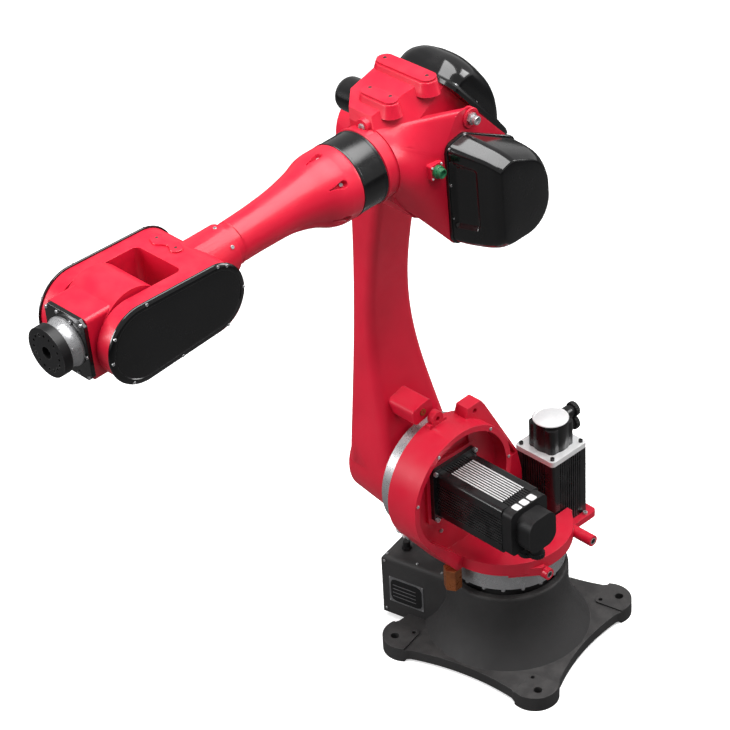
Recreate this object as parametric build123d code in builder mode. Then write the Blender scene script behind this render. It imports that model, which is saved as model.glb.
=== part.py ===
"""Six-axis industrial robot arm, posed as it stands: a cast base, a turret that carries two servo motors,
a one-sided lower arm, an elbow casting with covered motors, and a forearm that ends in a forked wrist.

Millimetres, +Z up. The origin is on the floor, on the turret's axis, and X and Y run along the base's sides.
"""

from build123d import *
import math
import os

os.makedirs("parts", exist_ok=True)

# Pose of the arm, in degrees
arm_turn = 12.5
lower_arm_lean = 0.0
forearm_dip = 2.6
wrist_dip = 0.0

# Clearances
running_gap = 0.3

# Axes of the arm
shoulder_x = 158.0
shoulder_z = 548.0
lower_arm_length = 927.0
forearm_rise = 103.0
forearm_length = 967.0

# Base
bolt_spacing = 423.0
bolt_hole_r = 11.0
dowel_spacing = 352.0
dowel_hole_r = 5.5
foot_r = 62.0
foot_overhang = 32.0
foot_top = 42.0
foot_inset = 13.0
plate_top = 37.0
plate_bottom = 8.0
plate_half = 220.0
flare_r = 213.0
neck_r = 158.0
neck_top = 224.0
neck_rim = 8.0
neck_straight = 196.0
hub_r = 128.0
recess_width = 10.0
recess_depth = 20.0
centre_pad_r = 150.0

# Connector box on the back of the base
box_half_width = 115.0
box_back = 308.0
box_bottom = 18.0
box_top = 203.0
box_edge_r = 14.0
box_toe = 231.0
label_width = 104.0
label_height = 80.0
label_thick = 1.5
socket_plate = 8.0
socket_reach = 14.0
socket_r = 15.0
gland_x = 62.0
gland_y = -262.0
gland_r = 13.0
gland_nut = 10.0

# Turret
reducer_r = 151.0
reducer_low = 251.0
reducer_high = 308.0
reducer_lip = 9.0
ring_bolt_count = 18
ring_bolt_r = 5.5
rim_r = 171.0
rim_low = 311.0
rim_high = 346.0
drum_r = 169.5
drum_front = 13.0
drum_back = -79.5
drum_wall = 16.0
drum_floor = -36.0
skirt_corner_x = 190.0
skirt_wall = 14.0
stop_y = -8.0
stop_r = 24.0
stop_drop = 62.0
motor_pad = 172.0
deck_top = 294.0
deck_thick = 18.0
deck_margin = 16.0
lug_y = -27.0
lug_thick = 40.0
lug_hole_r = 7.0
ear_thick = 18.0
ear_r = 19.0
ear_reach = 186.0
ear_angle = 86.0
post_r = 15.0
post_end = 186.0

# Servo motors
motor_size = 130.0
motor_edge_r = 10.0
flange_size = 152.0
flange_thick = 12.0
lift_motor_face = -14.0
lift_motor_end = 200.0
lift_bell_end = 230.0
lift_encoder_end = 274.0
turn_motor_x = -166.0
turn_motor_y = 6.0
turn_motor_top = 508.0
bell_thick = 14.0
encoder_size = 86.0
encoder_height = 79.0
fin_depth = 6.0
fin_pitch = 8.0
fin_width = 4.5
fin_count = 10
plug_r = 17.0
plug_reach = 24.0

# Lower arm
shoulder_ring_r = 150.0
arm_near = -120.0
arm_waist = -180.0
arm_far = -268.0
hub_near_r = 134.0
hub_far_r = 118.0
elbow_hub_near_r = 106.0
elbow_hub_far_r = 92.0
arm_edge_r = 26.0
block_face = -78.5
block_angle = 79.5
block_low_r = 188.0
block_high_r = 234.0
block_width = 66.0

# Elbow
elbow_ring_r = 104.0
elbow_right = -98.0
elbow_left = 100.0
hub_body_r = 128.0
neck_start = 232.0
neck_start_r = 90.0
roof_left = 60.0
cover_flange_half = 108.0
cover_flange_up = 128.0
cover_flange_down = 144.0
cover_flange_thick = 8.0
rear_slope = 50.7
rear_length = 319.0
cap_x = 134.0
cap_z = 170.0
cap_r = 40.0
cap_end = -178.0
plug_x = 20.0
plug_z = 148.0
socket_pad_x = 138.0
socket_pad_z = 71.0

# Forearm
band_r = 87.0
band_front = 337.5
band_back = 266.0
tube_r = 47.0

# Wrist
fork_half_width = 108.0
cover_thick = 9.0
cover_front_x = 19.0
cover_front_r = 90.0
cover_rear_x = -173.0
cover_rear_r = 81.0
cover_drop = 14.0
cover_lip = 4.0
cover_step = 9.0
cover_rim = 5.0
fork_collar = -300.0
collar_r = 56.0
window_half = 70.0
window_rear = -132.0
block_side_gap = 5.0
barrel_r = 84.0
boss_r = 58.0
nose_end = 112.0
nose_half = 62.0
nose_up = 70.0
nose_down = 78.0
wrist_plate_thick = 10.0
ring_r = 54.0
flange_r = 56.4
flange_thickness = 22.0
flange_reach = 177.0
flange_ring_r = 40.0
flange_hole_count = 16
flange_hole_r = 3.3
flange_bore_r = 14.0
flange_bore_depth = 14.0


base = Location()
turret = Location((0, 0, 0), (0, 0, -arm_turn))
shoulder = turret * Location((shoulder_x, 0, shoulder_z), (0, lower_arm_lean, 0))
elbow = shoulder * Location((0, 0, lower_arm_length), (0, forearm_dip, 0))
forearm = elbow * Location((0, 0, forearm_rise))
fork = forearm * Location((forearm_length, 0, 0))
wrist = fork * Location((0, 0, 0), (0, wrist_dip, 0))


def side(link, y=0.0):
    """A link's side plane at y: x forward, y up, and extrusions run to the link's right."""
    return Plane(link * Plane.XZ.offset(-y).location)


def level(link, z=0.0):
    """A link's level plane at height z."""
    return Plane(link * Plane.XY.offset(z).location)


def facing(link, x=0.0):
    """A link's front plane at x: x to the left, y up, and extrusions run forward."""
    return Plane(link * Plane.YZ.offset(x).location)


def polar(radius, degrees):
    """A point at a radius and an angle from the first axis."""
    return (radius * math.cos(math.radians(degrees)), radius * math.sin(math.radians(degrees)))


def rounded_outline(plane, corners, edge_r):
    """Polygon with every corner rounded to one radius, on a plane."""
    with BuildSketch(plane) as outline:
        with BuildLine():
            FilletPolyline(*corners, radius=edge_r, close=True)
        make_face()
    return outline.sketch


def save(piece, name):
    """Name a finished piece and write its file."""
    piece.label = name
    export_step(piece, f"parts/{name}.step")


# Base casting: a bowed square plate on four feet, and a flared trumpet up to the turret's bearing
half = bolt_spacing / 2
foot_centre = half - (foot_r - foot_overhang) * math.sqrt(0.5)
foot_inner = dowel_spacing / 2 - foot_inset
with BuildPart() as base_casting:
    with BuildSketch(Plane.XY.offset(plate_bottom)):
        with BuildLine():
            for turn in (0, 90, 180, 270):
                reach, rise = polar(foot_r, 40)
                start = Vector(foot_centre + reach, rise - foot_centre).rotate(Axis.Z, turn)
                middle = Vector(plate_half, 0).rotate(Axis.Z, turn)
                end = Vector(foot_centre + reach, foot_centre - rise).rotate(Axis.Z, turn)
                out = foot_centre + foot_r * math.sqrt(0.5)
                corner = Vector(out, out).rotate(Axis.Z, turn)
                after = Vector(foot_centre - rise, foot_centre + reach).rotate(Axis.Z, turn)
                ThreePointArc(start, middle, end)
                ThreePointArc(end, corner, after)
        make_face()
    extrude(amount=plate_top - plate_bottom)
    with BuildSketch(Plane.XY):
        with PolarLocations(foot_centre * math.sqrt(2), 4, start_angle=45):
            Circle(foot_r)
        Rectangle(2 * foot_inner, 4 * foot_inner, mode=Mode.SUBTRACT)
        Rectangle(4 * foot_inner, 2 * foot_inner, mode=Mode.SUBTRACT)
        inner_corners = [v for v in vertices() if abs(abs(v.X) - foot_inner) < 1 and abs(abs(v.Y) - foot_inner) < 1]
        fillet(inner_corners, 14)
    extrude(amount=foot_top)
    with BuildSketch(Plane.XZ):
        with BuildLine():
            Line((centre_pad_r, plate_bottom), (flare_r, plate_bottom))
            Line((flare_r, plate_bottom), (flare_r, plate_top))
            Spline(
                (flare_r, plate_top), (neck_r + 6, 130), (neck_r, neck_straight), tangents=((-0.75, 1), (0, 1))
            )
            Line((neck_r, neck_straight), (neck_r, neck_top - neck_rim))
            RadiusArc((neck_r, neck_top - neck_rim), (neck_r - neck_rim, neck_top), -neck_rim)
            Line((neck_r - neck_rim, neck_top), (hub_r + recess_width, neck_top))
            Line((hub_r + recess_width, neck_top), (hub_r + recess_width, neck_top - recess_depth))
            Line((hub_r + recess_width, neck_top - recess_depth), (hub_r, neck_top - recess_depth))
            Line((hub_r, neck_top - recess_depth), (hub_r, reducer_low - running_gap))
            Line((hub_r, reducer_low - running_gap), (0, reducer_low - running_gap))
            Line((0, reducer_low - running_gap), (0, 0))
            Line((0, 0), (centre_pad_r, 0))
            Line((centre_pad_r, 0), (centre_pad_r, plate_bottom))
        make_face()
    revolve(axis=Axis.Z)
    with Locations(Plane.XY.offset(foot_top)):
        with PolarLocations(half * math.sqrt(2), 4, start_angle=45):
            Hole(bolt_hole_r)
        with PolarLocations(dowel_spacing / math.sqrt(2), 4, start_angle=45):
            Hole(dowel_hole_r)
save(base_casting.part, "base_casting")

# Connector box, cast to fit round the trumpet
with BuildPart() as trumpet_room:
    with BuildSketch(Plane.XZ):
        with BuildLine():
            Line((0, plate_bottom), (flare_r, plate_bottom))
            Line((flare_r, plate_bottom), (flare_r, plate_top))
            Spline(
                (flare_r, plate_top), (neck_r + 6, 130), (neck_r, neck_straight), tangents=((-0.75, 1), (0, 1))
            )
            Line((neck_r, neck_straight), (neck_r, neck_top))
            Line((neck_r, neck_top), (0, neck_top))
            Line((0, neck_top), (0, plate_bottom))
        make_face()
    revolve(axis=Axis.Z)

box_front = -neck_r * 0.6
with BuildPart() as connector_box:
    with BuildSketch(Plane.XY.offset(plate_top)):
        with Locations((0, (box_front - box_back) / 2)):
            Rectangle(2 * box_half_width, box_back + box_front)
    extrude(amount=box_top - plate_top)
    with BuildSketch(Plane.XY.offset(box_bottom)):
        with Locations((0, -(box_back + box_toe) / 2)):
            Rectangle(2 * box_half_width, box_back - box_toe)
    extrude(amount=plate_top - box_bottom)
    fillet(connector_box.edges().filter_by(GeomType.LINE).group_by(Axis.Z)[-1], box_edge_r)
    add(trumpet_room.part, mode=Mode.SUBTRACT)
save(connector_box.part, "connector_box")

# Bare rating plate on the side of the box
label_y = -234.0
label_z = 102.0
with BuildPart() as rating_plate:
    with BuildSketch(Plane.YZ.offset(box_half_width)):
        with Locations((label_y, label_z)):
            RectangleRounded(label_width, label_height, 2)
    extrude(amount=label_thick)
save(rating_plate.part, "rating_plate")

# Sockets on the back of the box
socket_x = 50.0
socket_z = 120.0
with BuildPart() as base_sockets:
    with BuildSketch(Plane.XZ.offset(box_back)):
        with Locations((-socket_x, socket_z), (socket_x, socket_z)):
            RectangleRounded(4 * socket_r, 5.6 * socket_r, 6)
    extrude(amount=socket_plate)
    with BuildSketch(Plane.XZ.offset(box_back + socket_plate)):
        with Locations(
            (-socket_x, socket_z + 1.3 * socket_r), (-socket_x, socket_z - 1.3 * socket_r), (socket_x, socket_z)
        ):
            Circle(socket_r)
    extrude(amount=socket_reach)
save(base_sockets.part, "base_sockets")

# Cable gland on top of the box
with BuildPart() as cable_gland:
    with BuildSketch(Plane.XY.offset(box_top)):
        with Locations((gland_x, gland_y)):
            RegularPolygon(gland_r, 6)
    extrude(amount=gland_nut)
    with BuildSketch(Plane.XY.offset(box_top + gland_nut)):
        with Locations((gland_x, gland_y)):
            Circle(gland_r * 0.75)
    extrude(amount=1.8 * gland_nut)
    fillet(cable_gland.faces().sort_by(Axis.Z)[-1].edges(), 3)
save(cable_gland.part, "cable_gland")

# Turning reducer under the turret, with its ring of bolt heads and a flat seat for the motor
motor_seat_x = turn_motor_x + motor_size / 2 + 3
with BuildPart() as turn_reducer:
    with BuildSketch(level(turret, reducer_low)):
        Circle(reducer_r)
    extrude(amount=reducer_high - reducer_low - reducer_lip)
    with BuildSketch(level(turret, reducer_high - reducer_lip)):
        Circle(reducer_r - 3)
    extrude(amount=reducer_lip + rim_low - reducer_high)
    with BuildSketch(level(turret, deck_top - deck_thick - running_gap)):
        with Locations((motor_seat_x - reducer_r, turn_motor_y)):
            Rectangle(2 * reducer_r, motor_size + 4 * deck_margin)
    extrude(amount=reducer_high, mode=Mode.SUBTRACT)
    with BuildSketch(level(turret, reducer_low)):
        with PolarLocations(reducer_r - 9, ring_bolt_count):
            Circle(ring_bolt_r)
    extrude(amount=-10)
save(turn_reducer.part, "turn_reducer")

# Turret casting: rim, drum about the shoulder axis, V-shaped skirt, motor deck and lifting lug
with BuildPart() as turret_casting:
    with BuildSketch(level(turret, rim_low)):
        Circle(rim_r)
    extrude(amount=rim_high - rim_low)
    skirt_drop = rim_low - shoulder_z
    skirt_lean = math.degrees(math.acos(drum_r / math.hypot(skirt_corner_x - shoulder_x, skirt_drop)))
    skirt_down = math.degrees(math.atan2(skirt_drop, skirt_corner_x - shoulder_x))
    with BuildSketch(side(turret, drum_front)):
        with Locations((shoulder_x, shoulder_z)):
            Circle(drum_r)
        with BuildLine():
            touch = Vector(shoulder_x, shoulder_z) + Vector(*polar(drum_r, skirt_down + skirt_lean))
            Polyline(
                (skirt_corner_x, rim_low),
                (touch.X, touch.Y),
                (shoulder_x, shoulder_z),
                (-60, shoulder_z - 120),
                (-90, rim_low),
                (skirt_corner_x, rim_low),
            )
        make_face()
    extrude(amount=drum_front - drum_back)
    with BuildSketch(side(turret, drum_front)):
        with Locations((shoulder_x, shoulder_z)):
            Circle(drum_r - drum_wall)
        with BuildLine():
            inner = Vector(shoulder_x, shoulder_z) + Vector(*polar(drum_r - skirt_wall, skirt_down + skirt_lean))
            Polyline(
                (skirt_corner_x - 1.2 * skirt_wall, rim_high),
                (inner.X, inner.Y),
                (shoulder_x, shoulder_z),
                (20, shoulder_z),
                (20, rim_high),
                (skirt_corner_x - 1.2 * skirt_wall, rim_high),
            )
        make_face()
    extrude(amount=drum_front - drum_floor, mode=Mode.SUBTRACT)
    with BuildSketch(side(turret, lift_motor_face - flange_thick)):
        with Locations((shoulder_x, shoulder_z)):
            RectangleRounded(motor_pad, motor_pad, 10)
    extrude(amount=lift_motor_face - flange_thick - drum_floor)
    with BuildSketch(level(turret, deck_top - deck_thick)):
        with Locations((turn_motor_x, turn_motor_y)):
            RectangleRounded(motor_size + 2 * deck_margin, motor_size + 2.4 * deck_margin, 14)
        Circle(reducer_r + running_gap, mode=Mode.SUBTRACT)
    extrude(amount=rim_high - deck_top + deck_thick)
    with BuildSketch(level(turret, deck_top)):
        with Locations((turn_motor_x - 60, turn_motor_y)):
            Rectangle(motor_size + 126, motor_size + 6)
        with Locations((-2 * reducer_r, turn_motor_y)):
            Rectangle(2 * reducer_r, 3 * motor_size)
    extrude(amount=rim_high - deck_top + 160, mode=Mode.SUBTRACT)
    with BuildSketch(side(turret, lug_y)):
        with BuildLine():
            Polyline(
                (104, 700), (94, 734), (48, 736), (34, 716), (-76, 520), (-92, 450), (-92, rim_low + 5), (40, rim_low + 5),
                (104, 700)
            )
        make_face()
        with BuildLine():
            Polyline((-30, 590), (-22, 512), (-72, 512), (-30, 590))
        make_face(mode=Mode.SUBTRACT)
        with Locations((70, 716)):
            Circle(lug_hole_r, mode=Mode.SUBTRACT)
    extrude(amount=lug_thick)
    for post_x, post_z, post_root in ((40, rim_low - 8, 156), (-122, rim_low + 2, 104)):
        with BuildSketch(side(turret, post_end)):
            with Locations((post_x, post_z)):
                Circle(post_r)
        extrude(amount=post_end - post_root)
    with BuildSketch(level(turret, rim_low - 10)):
        with BuildLine():
            Polyline((118, 118), (54, 172), (40, 172), (40, 156), (100, 117), (118, 118))
        make_face()
    extrude(amount=24)
    ear_x, ear_z = polar(ear_reach, ear_angle)
    with BuildSketch(side(turret, drum_back + ear_thick + 8)):
        with Locations((shoulder_x + ear_x, shoulder_z + ear_z)):
            Circle(ear_r)
        with Locations((shoulder_x + ear_x * 0.9, shoulder_z + ear_z * 0.9)):
            Rectangle(3 * ear_r, ear_r)
        with Locations((shoulder_x + ear_x, shoulder_z + ear_z)):
            Circle(ear_r * 0.35, mode=Mode.SUBTRACT)
    extrude(amount=ear_thick)
save(turret_casting.part, "turret_casting")

# Rubber-faced stop block under the front corner of the skirt
with BuildPart() as turn_stop:
    with BuildSketch(level(turret, rim_low)):
        with Locations((skirt_corner_x - 4, stop_y)):
            RegularPolygon(stop_r, 6)
    extrude(amount=-stop_drop)
save(turn_stop.part, "turn_stop")

# Shoulder motor: flange, finned body, end bell and encoder, with two plugs below
with BuildPart() as lift_motor:
    with BuildSketch(side(turret, lift_motor_face)):
        with Locations((shoulder_x, shoulder_z)):
            RectangleRounded(flange_size, flange_size, motor_edge_r)
    extrude(amount=flange_thick)
    with BuildSketch(side(turret, lift_motor_end)):
        with Locations((shoulder_x, shoulder_z)):
            RectangleRounded(motor_size, motor_size, motor_edge_r)
            with GridLocations(fin_pitch, motor_size - fin_depth, fin_count, 2):
                Rectangle(fin_pitch - fin_width, fin_depth, mode=Mode.SUBTRACT)
            with GridLocations(motor_size - fin_depth, fin_pitch, 2, fin_count):
                Rectangle(fin_depth, fin_pitch - fin_width, mode=Mode.SUBTRACT)
    extrude(amount=lift_motor_end - lift_motor_face)
save(lift_motor.part, "lift_motor")

with BuildPart() as lift_encoder:
    with BuildSketch(side(turret, lift_bell_end)):
        with Locations((shoulder_x, shoulder_z)):
            RectangleRounded(motor_size - 4, motor_size - 4, 16)
    extrude(amount=lift_bell_end - lift_motor_end)
    with BuildSketch(side(turret, lift_encoder_end)):
        with Locations((shoulder_x, shoulder_z)):
            RectangleRounded(encoder_size + 8, encoder_size + 8, 30)
    extrude(amount=lift_encoder_end - lift_bell_end)
    for stem_y, stem_reach in ((lift_motor_end + plug_r + 1, plug_reach), (lift_encoder_end - plug_r - 4, 10)):
        with BuildSketch(level(turret, shoulder_z)):
            with Locations((shoulder_x, stem_y)):
                Circle(plug_r)
        extrude(amount=-motor_size / 2 - stem_reach)
save(lift_encoder.part, "lift_encoder")

# Turning motor on its deck
with BuildPart() as turn_motor:
    with BuildSketch(level(turret, deck_top)):
        with Locations((turn_motor_x, turn_motor_y)):
            RectangleRounded(motor_size, motor_size, motor_edge_r)
            with GridLocations(fin_pitch, motor_size - fin_depth, fin_count, 2):
                Rectangle(fin_pitch - fin_width, fin_depth, mode=Mode.SUBTRACT)
            with GridLocations(motor_size - fin_depth, fin_pitch, 2, fin_count):
                Rectangle(fin_depth, fin_pitch - fin_width, mode=Mode.SUBTRACT)
    extrude(amount=turn_motor_top - bell_thick - deck_top)
save(turn_motor.part, "turn_motor")

with BuildPart() as turn_motor_bell:
    with BuildSketch(level(turret, turn_motor_top - bell_thick)):
        with Locations((turn_motor_x, turn_motor_y)):
            RectangleRounded(motor_size, motor_size, motor_edge_r)
    extrude(amount=bell_thick)
save(turn_motor_bell.part, "turn_motor_bell")

with BuildPart() as turn_encoder:
    with BuildSketch(level(turret, turn_motor_top)):
        with Locations((turn_motor_x, turn_motor_y)):
            RectangleRounded(encoder_size, encoder_size, 14)
    extrude(amount=encoder_height - 9)
    with BuildSketch(level(turret, turn_motor_top)):
        with Locations((turn_motor_x, turn_motor_y)):
            Circle(encoder_size / 2 + 4)
    extrude(amount=encoder_height)
    for stem_z in (turn_motor_top + plug_r + 3, turn_motor_top + encoder_height - plug_r - 2):
        with BuildSketch(facing(turret, turn_motor_x)):
            with Locations((turn_motor_y, stem_z)):
                Circle(plug_r)
        extrude(amount=-encoder_size / 2 - plug_reach)
save(turn_encoder.part, "turn_encoder")

# Shoulder reducer between drum and lower arm
with BuildPart() as shoulder_reducer:
    with BuildSketch(side(turret, drum_back)):
        with Locations((shoulder_x, shoulder_z)):
            Circle(shoulder_ring_r)
    extrude(amount=drum_back - arm_near - running_gap)
save(shoulder_reducer.part, "shoulder_reducer")

# Lower arm: a tapered column between two conical hubs, set to the arm's right, and a stop block
arm_sections = (
    # height as a share of the arm's length, reach back, reach forward, near face
    (0.03, 112, 124, arm_near - 1),
    (0.16, 92, 112, arm_near - 22),
    (0.32, 74, 97, arm_waist),
    (0.72, 68, 74, arm_waist),
    (0.97, 78, 74, arm_waist + 12),
)
with BuildPart() as lower_arm:
    for share, back, front, near in arm_sections:
        with BuildSketch(level(shoulder, share * lower_arm_length)):
            with Locations(((front - back) / 2, (near + arm_far) / 2)):
                RectangleRounded(front + back, near - arm_far, arm_edge_r)
    loft()
    for height, near_r, far_r in ((0, hub_near_r, hub_far_r), (lower_arm_length, elbow_hub_near_r, elbow_hub_far_r)):
        with BuildSketch(side(shoulder, arm_near)):
            with Locations((0, height)):
                Circle(near_r)
        with BuildSketch(side(shoulder, arm_far)):
            with Locations((0, height)):
                Circle(far_r)
        loft(ruled=True)
    block_x, block_z = polar((block_low_r + block_high_r) / 2, block_angle)
    with BuildSketch(side(shoulder, block_face)):
        with Locations(Location((block_x, block_z), block_angle - 90)):
            RectangleRounded(block_width, block_high_r - block_low_r, 12)
    extrude(amount=block_face - arm_waist + 10)
save(lower_arm.part, "lower_arm")

with BuildPart() as stop_bush:
    with BuildSketch(side(shoulder, block_face + 2)):
        with Locations((block_x, block_z)):
            Circle(9)
            Circle(4, mode=Mode.SUBTRACT)
    extrude(amount=2)
save(stop_bush.part, "stop_bush")

# Elbow reducer between the lower arm's upper hub and the elbow casting
with BuildPart() as elbow_reducer:
    with BuildSketch(side(shoulder, elbow_right - running_gap)):
        with Locations((0, lower_arm_length)):
            Circle(elbow_ring_r)
    extrude(amount=elbow_right - running_gap - arm_near)
save(elbow_reducer.part, "elbow_reducer")

# Elbow casting: a roof block and a hub, and a bulge lofted from the motor's flange to the roll band
rear_foot = (-127.7, 8.7)
slope_run, slope_rise = polar(rear_length, rear_slope)
rear_top = (rear_foot[0] + slope_run, rear_foot[1] + slope_rise)
roof_front = (228.0, 217.0)
rear_middle = ((rear_foot[0] + rear_top[0]) / 2, (rear_foot[1] + rear_top[1]) / 2)
rear_normal = (-math.sin(math.radians(rear_slope)), 0, math.cos(math.radians(rear_slope)))
rear_plane = Plane(origin=(rear_middle[0], 0, rear_middle[1]), x_dir=(0, 1, 0), z_dir=rear_normal)
crest_run = Vector(136, -26, -34)
crest_fall = Vector(0, 23, -38)
crest = Plane(origin=(96, 34, 250), x_dir=crest_run, z_dir=crest_run.cross(crest_fall))
far_corner = Plane(origin=(184, elbow_right, 0), x_dir=(50, 43, 0), z_dir=(43, -50, 0))
hub_touch = math.degrees(math.atan2(-50, 175) - math.acos(hub_body_r / math.hypot(175, 50)))
with BuildPart() as roof_block:
    with BuildSketch(side(elbow, roof_left)):
        with BuildLine():
            Polyline(
                rear_foot, rear_top, roof_front, (236, 192), (neck_start, forearm_rise), (neck_start, 20), (175, -50),
                polar(hub_body_r, hub_touch)
            )
            ThreePointArc(polar(hub_body_r, hub_touch), polar(hub_body_r, -120), rear_foot)
        make_face()
    extrude(amount=roof_left - elbow_right)
    split(bisect_by=Plane(elbow * crest.location), keep=Keep.BOTTOM)
    split(bisect_by=Plane(elbow * far_corner.location), keep=Keep.BOTTOM)

motor_face = rounded_outline(
    side(elbow, elbow_left),
    (
        (cover_flange_half, -cover_flange_down), (plug_x + 96, 94), (plug_x + 40, plug_z + 30),
        (plug_x, plug_z + 30), (-cover_flange_half, 30), (-cover_flange_half, -cover_flange_down)
    ),
    24,
)
with BuildSketch(facing(elbow, neck_start)) as neck_face:
    with Locations((0, forearm_rise)):
        Circle(neck_start_r)
with BuildPart() as elbow_casting:
    loft(sections=[motor_face, neck_face.sketch], ruled=True)
    add(roof_block.part)
    with BuildSketch(facing(elbow, neck_start - 12)):
        with Locations((0, forearm_rise)):
            Circle(band_r)
    extrude(amount=band_back - neck_start + 12)
    for pad_x, pad_y, pad_z, pad_half, pad_width in ((87, -20, 264, 63, 42), (181, -10, 243, 31.6, 36)):
        with BuildSketch(level(elbow, pad_z)):
            with Locations((pad_x, pad_y)):
                SlotCenterToCenter(2 * pad_half, pad_width, rotation=90)
        extrude(amount=-34)
    with BuildSketch(facing(elbow, 244)):
        with Locations((-6, 192)):
            Circle(18)
    extrude(amount=-60)
    with BuildSketch(side(elbow, elbow_right)):
        with Locations((cap_x, cap_z)):
            Circle(cap_r + 4)
    extrude(amount=10)
    with BuildSketch(side(elbow, elbow_left + 6)):
        with Locations((socket_pad_x, socket_pad_z)):
            RectangleRounded(38, 38, 5)
    extrude(amount=40)
save(elbow_casting.part, "elbow_casting")

# Covers over the elbow's motors: the side one has a sloping top, and the rear one sits on the sloped back


def cover_outline(plane, front, back, top, slope_top, bottom, edge_r):
    """Outline of a motor cover whose top edge falls towards the back, on a plane."""
    corners = ((front, bottom), (front, top - 10), (front * 0.45, top), (back, slope_top), (back, bottom))
    return rounded_outline(plane, corners, edge_r)


cover_flange = cover_outline(
    side(elbow, elbow_left + cover_flange_thick), cover_flange_half, -cover_flange_half, cover_flange_up, 44,
    -cover_flange_down, 26
)
cover_sections = [
    cover_outline(side(elbow, elbow_left + cover_flange_thick), 103, -104, 124, 40, -140, 24),
    cover_outline(side(elbow, elbow_left + 94), 78, -99, 108, 44, -138, 24),
    cover_outline(side(elbow, elbow_left + 131), 68, -62, 84, 46, -101, 24),
]
with BuildPart() as side_cover:
    extrude(cover_flange, amount=cover_flange_thick)
    loft(sections=cover_sections, ruled=True)
save(side_cover.part, "side_cover")

rear_sections = (
    # height above the sloped back, width, length, shift along the slope, corner radius
    (0, 196, 282, 3, 48),
    (16, 188, 272, 4, 48),
)
rear_dome = (
    (16, 176, 240, 22, 48),
    (54, 164, 212, 26, 52),
    (84, 104, 130, 30, 40),
)
with BuildPart() as rear_cover:
    for sections in (rear_sections, rear_dome):
        for lift, width, length, slide, edge_r in sections:
            with BuildSketch(Plane(elbow * rear_plane.offset(lift).location)):
                with Locations((-14, -slide)):
                    RectangleRounded(width, length, edge_r)
        loft(ruled=True)
save(rear_cover.part, "rear_cover")

# Black cap on the far side of the elbow
with BuildPart() as hub_cap:
    with BuildSketch(side(elbow, elbow_right - 10)):
        with Locations((cap_x, cap_z)):
            Circle(cap_r)
    extrude(amount=elbow_right - 10 - cap_end)
    fillet(hub_cap.faces().sort_by(Axis.Y)[0].edges(), 22)
save(hub_cap.part, "hub_cap")

# Green socket on the elbow
with BuildPart() as elbow_socket:
    with BuildSketch(side(elbow, elbow_left + 20)):
        with Locations((socket_pad_x, socket_pad_z)):
            Circle(12)
    extrude(amount=14)
save(elbow_socket.part, "elbow_socket")

# Steel plug on the elbow's boss
with BuildPart() as elbow_plug:
    with BuildSketch(side(elbow, elbow_left + 10)):
        with Locations((plug_x, plug_z)):
            RegularPolygon(14, 6)
    extrude(amount=10)
save(elbow_plug.part, "elbow_plug")

# Roll band between elbow and forearm
with BuildPart() as roll_band:
    with BuildSketch(facing(elbow, band_back)):
        with Locations((0, forearm_rise)):
            Circle(band_r)
    extrude(amount=band_front - band_back - running_gap)
save(roll_band.part, "roll_band")

# Forearm: a bell, a tapering neck and a tube, lofted through round sections
tube_sections = (
    # distance ahead of the band, radius, rise of the centre
    (34, 87.5, 0),
    (58, 84, 2),
    (100, 69, 6),
    (150, 57, 8),
    (230, 50, 5),
    (310, 48, 2),
)
with BuildPart() as forearm_tube:
    with BuildSketch(facing(forearm, band_front)):
        Circle(band_r)
    extrude(amount=34)
    for ahead, radius, rise in tube_sections:
        with BuildSketch(facing(forearm, band_front + ahead)):
            with Locations((0, rise)):
                Circle(radius)
    loft()
    with BuildSketch(facing(forearm, forearm_length + fork_collar)):
        Circle(tube_r)
    extrude(amount=-(forearm_length + fork_collar - band_front - 300))
save(forearm_tube.part, "forearm_tube")

# Wrist fork: two ears joined by a rear web, and a collar that takes the tube
ear_front_r = cover_front_r - cover_lip
ear_rear_r = cover_rear_r - cover_lip


def stadium(plane, front_x, front_r, rear_x, rear_r, drop):
    """Outline of two round ends joined by their common tangents, on a plane."""
    taper = math.asin((front_r - rear_r) / (front_x - rear_x))
    sin_taper = math.sin(taper)
    cos_taper = math.cos(taper)
    with BuildSketch(plane) as outline:
        with BuildLine():
            front_top = (front_x - front_r * sin_taper, front_r * cos_taper - drop)
            front_low = (front_x - front_r * sin_taper, -front_r * cos_taper - drop)
            rear_high = (rear_x - rear_r * sin_taper, rear_r * cos_taper - drop)
            rear_low = (rear_x - rear_r * sin_taper, -rear_r * cos_taper - drop)
            ThreePointArc(front_top, (front_x + front_r, -drop), front_low)
            Line(front_low, rear_low)
            ThreePointArc(rear_low, (rear_x - rear_r, -drop), rear_high)
            Line(rear_high, front_top)
        make_face()
    return outline.sketch


with BuildPart() as wrist_fork:
    ears = stadium(side(fork, fork_half_width), cover_front_x, ear_front_r, cover_rear_x, ear_rear_r, cover_drop)
    extrude(ears, amount=2 * fork_half_width)
    with BuildSketch(level(fork, 2 * ear_front_r)):
        with Locations(((window_rear + 3 * ear_front_r) / 2, 0)):
            RectangleRounded(3 * ear_front_r - window_rear, 2 * window_half, 14)
    extrude(amount=-4 * ear_front_r, mode=Mode.SUBTRACT)
    with BuildSketch(facing(fork, fork_collar)):
        Circle(collar_r)
    extrude(amount=cover_rear_x - fork_collar)
save(wrist_fork.part, "wrist_fork")

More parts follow.
